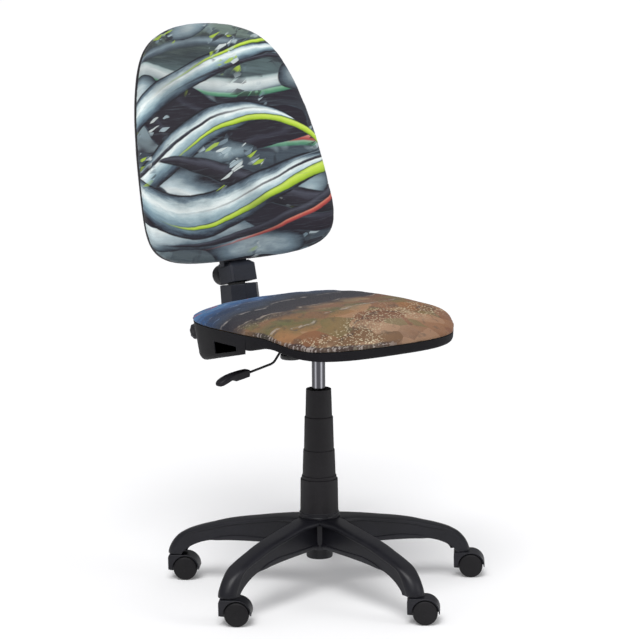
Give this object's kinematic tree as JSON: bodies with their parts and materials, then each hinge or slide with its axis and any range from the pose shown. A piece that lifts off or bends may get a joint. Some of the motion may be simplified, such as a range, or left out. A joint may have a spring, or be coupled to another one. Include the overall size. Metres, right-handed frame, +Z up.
{
  "type": "children's swivel desk chair",
  "caption": "Child's swivel chair: five-star base on twin-wheel casters, gas lift with telescopic cover, printed-fabric seat and height-adjustable back.",
  "frame": {"origin": "on the floor, on the column's axis", "axes": "+Z up, the sitter looks along -Y, +X is at the sitter's left"},
  "size_m": [0.6827, 0.8062, 1.1521],
  "materials": {
    "nylon": "satin",
    "wheel_nylon": "satin",
    "bush_plastic": "satin",
    "black_steel": "satin",
    "chrome": "polished",
    "zinc_steel": "satin",
    "buffer_rubber": "matte",
    "plywood": "matte",
    "seat_fabric": "printed woven fabric",
    "back_fabric": "printed woven fabric"
  },
  "bodies": {
    "base": {"star_base": "nylon", "lift_column": "black_steel", "guide_bush": "bush_plastic", "thrust_race_lower": "zinc_steel", "thrust_balls": "zinc_steel", "cover_stage_5": "nylon"},
    "lift_piston": {"piston_rod": "chrome", "thrust_race_upper": "zinc_steel", "buffer_ring": "buffer_rubber", "rod_clip": "zinc_steel"},
    "cover_1": {"cover_stage_1": "nylon"},
    "cover_2": {"cover_stage_2": "nylon"},
    "cover_3": {"cover_stage_3": "nylon"},
    "cover_4": {"cover_stage_4": "nylon"},
    "seat": {"gas_cylinder": "chrome", "mechanism_housing": "black_steel", "mechanism_bolts": "zinc_steel", "seat_board": "plywood", "seat_tee_nuts": "zinc_steel", "seat_pad": "seat_fabric", "seat_pan": "nylon", "pan_screws": "zinc_steel", "back_bar": "black_steel", "stem_cover": "nylon"},
    "valve": {"valve_button": "zinc_steel"},
    "lever": {"lever_rod": "black_steel", "lever_handle": "nylon"},
    "stem_knob": {"rake_knob": "nylon"},
    "back": {"back_bracket": "nylon", "back_board": "plywood", "back_pad": "back_fabric", "back_shell": "nylon", "bracket_screws": "zinc_steel"},
    "height_knob": {"height_knob": "nylon", "height_stud": "zinc_steel"},
    "caster_1": {"caster_1_stem": "zinc_steel", "caster_1_hood": "nylon", "caster_1_axle": "zinc_steel"},
    "caster_1_a": {"caster_1_wheel_a": "wheel_nylon"},
    "caster_1_b": {"caster_1_wheel_b": "wheel_nylon"},
    "caster_2": {"caster_2_stem": "zinc_steel", "caster_2_hood": "nylon", "caster_2_axle": "zinc_steel"},
    "caster_2_a": {"caster_2_wheel_a": "wheel_nylon"},
    "caster_2_b": {"caster_2_wheel_b": "wheel_nylon"},
    "caster_3": {"caster_3_stem": "zinc_steel", "caster_3_hood": "nylon", "caster_3_axle": "zinc_steel"},
    "caster_3_a": {"caster_3_wheel_a": "wheel_nylon"},
    "caster_3_b": {"caster_3_wheel_b": "wheel_nylon"},
    "caster_4": {"caster_4_stem": "zinc_steel", "caster_4_hood": "nylon", "caster_4_axle": "zinc_steel"},
    "caster_4_a": {"caster_4_wheel_a": "wheel_nylon"},
    "caster_4_b": {"caster_4_wheel_b": "wheel_nylon"},
    "caster_5": {"caster_5_stem": "zinc_steel", "caster_5_hood": "nylon", "caster_5_axle": "zinc_steel"},
    "caster_5_a": {"caster_5_wheel_a": "wheel_nylon"},
    "caster_5_b": {"caster_5_wheel_b": "wheel_nylon"}
  },
  "joints": [
    {"name": "seat_swivel", "type": "hinge", "parent": "base", "child": "lift_piston", "pos_m": [0, 0, 0.08], "axis": [0, 0, 1], "continuous": true},
    {"name": "gas_lift", "type": "slide", "parent": "lift_piston", "child": "seat", "axis": [0, 0, 1], "range_m": [-0.15, 0]},
    {"name": "cover_1_slide", "type": "slide", "parent": "base", "child": "cover_1", "axis": [0, 0, 1], "range_m": [-0.0843, 0]},
    {"name": "cover_2_slide", "type": "slide", "parent": "base", "child": "cover_2", "axis": [0, 0, 1], "range_m": [-0.0542, 0]},
    {"name": "cover_3_slide", "type": "slide", "parent": "base", "child": "cover_3", "axis": [0, 0, 1], "range_m": [-0.0257, 0]},
    {"name": "cover_4_slide", "type": "slide", "parent": "base", "child": "cover_4", "axis": [0, 0, 1], "range_m": [-0.0032, 0]},
    {"name": "lever_lift", "type": "hinge", "parent": "seat", "child": "lever", "pos_m": [-0.045, 0, 0.526], "axis": [0, 1, 0], "range_deg": [0, 6.5], "stiffness_Nm_per_rad": 2, "springref_deg": -8.59},
    {"name": "valve_press", "type": "slide", "parent": "seat", "child": "valve", "axis": [0, 0, 1], "range_m": [-0.0065, 0]},
    {"name": "stem_knob_turn", "type": "hinge", "parent": "seat", "child": "stem_knob", "pos_m": [-0.1, 0.27, 0.5205], "axis": [1, 0, 0], "continuous": true},
    {"name": "back_height", "type": "slide", "parent": "seat", "child": "back", "axis": [0, 0.2571, 0.9664], "range_m": [0, 0.06]},
    {"name": "height_knob_turn", "type": "hinge", "parent": "back", "child": "height_knob", "pos_m": [0, 0.33313, 0.62115], "axis": [0, 0.9664, -0.2571], "continuous": true},
    {"name": "caster_1_swivel", "type": "hinge", "parent": "base", "child": "caster_1", "pos_m": [-0.00773, -0.31641, 0.06], "axis": [0, 0, 1], "continuous": true},
    {"name": "caster_1_roll_a", "type": "hinge", "parent": "caster_1", "child": "caster_1_a", "pos_m": [0.00725, -0.32966, 0.025], "axis": [0.6626, 0.749, 0], "continuous": true},
    {"name": "caster_1_roll_b", "type": "hinge", "parent": "caster_1", "child": "caster_1_b", "pos_m": [0.00725, -0.32966, 0.025], "axis": [0.6626, 0.749, 0], "continuous": true},
    {"name": "caster_2_swivel", "type": "hinge", "parent": "base", "child": "caster_2", "pos_m": [0.29853, -0.10513, 0.06], "axis": [0, 0, 1], "continuous": true},
    {"name": "caster_2_roll_a", "type": "hinge", "parent": "caster_2", "child": "caster_2_a", "pos_m": [0.31351, -0.11838, 0.025], "axis": [0.6626, 0.749, 0], "continuous": true},
    {"name": "caster_2_roll_b", "type": "hinge", "parent": "caster_2", "child": "caster_2_b", "pos_m": [0.31351, -0.11838, 0.025], "axis": [0.6626, 0.749, 0], "continuous": true},
    {"name": "caster_3_swivel", "type": "hinge", "parent": "base", "child": "caster_3", "pos_m": [0.19223, 0.25143, 0.06], "axis": [0, 0, 1], "continuous": true},
    {"name": "caster_3_roll_a", "type": "hinge", "parent": "caster_3", "child": "caster_3_a", "pos_m": [0.20721, 0.23818, 0.025], "axis": [0.6626, 0.749, 0], "continuous": true},
    {"name": "caster_3_roll_b", "type": "hinge", "parent": "caster_3", "child": "caster_3_b", "pos_m": [0.20721, 0.23818, 0.025], "axis": [0.6626, 0.749, 0], "continuous": true},
    {"name": "caster_4_swivel", "type": "hinge", "parent": "base", "child": "caster_4", "pos_m": [-0.17972, 0.26052, 0.06], "axis": [0, 0, 1], "continuous": true},
    {"name": "caster_4_roll_a", "type": "hinge", "parent": "caster_4", "child": "caster_4_a", "pos_m": [-0.16474, 0.24727, 0.025], "axis": [0.6626, 0.749, 0], "continuous": true},
    {"name": "caster_4_roll_b", "type": "hinge", "parent": "caster_4", "child": "caster_4_b", "pos_m": [-0.16474, 0.24727, 0.025], "axis": [0.6626, 0.749, 0], "continuous": true},
    {"name": "caster_5_swivel", "type": "hinge", "parent": "base", "child": "caster_5", "pos_m": [-0.30331, -0.09042, 0.06], "axis": [0, 0, 1], "continuous": true},
    {"name": "caster_5_roll_a", "type": "hinge", "parent": "caster_5", "child": "caster_5_a", "pos_m": [-0.28833, -0.10367, 0.025], "axis": [0.6626, 0.749, 0], "continuous": true},
    {"name": "caster_5_roll_b", "type": "hinge", "parent": "caster_5", "child": "caster_5_b", "pos_m": [-0.28833, -0.10367, 0.025], "axis": [0.6626, 0.749, 0], "continuous": true}
  ],
  "couplings": [
    {"joint": "cover_1_slide", "follows": "gas_lift", "ratio": 0.56},
    {"joint": "cover_2_slide", "follows": "gas_lift", "ratio": 0.36},
    {"joint": "cover_3_slide", "follows": "gas_lift", "ratio": 0.17},
    {"joint": "cover_4_slide", "follows": "gas_lift", "ratio": 0.02},
    {"joint": "valve_press", "follows": "lever_lift", "m_per_rad": -0.055}
  ]
}
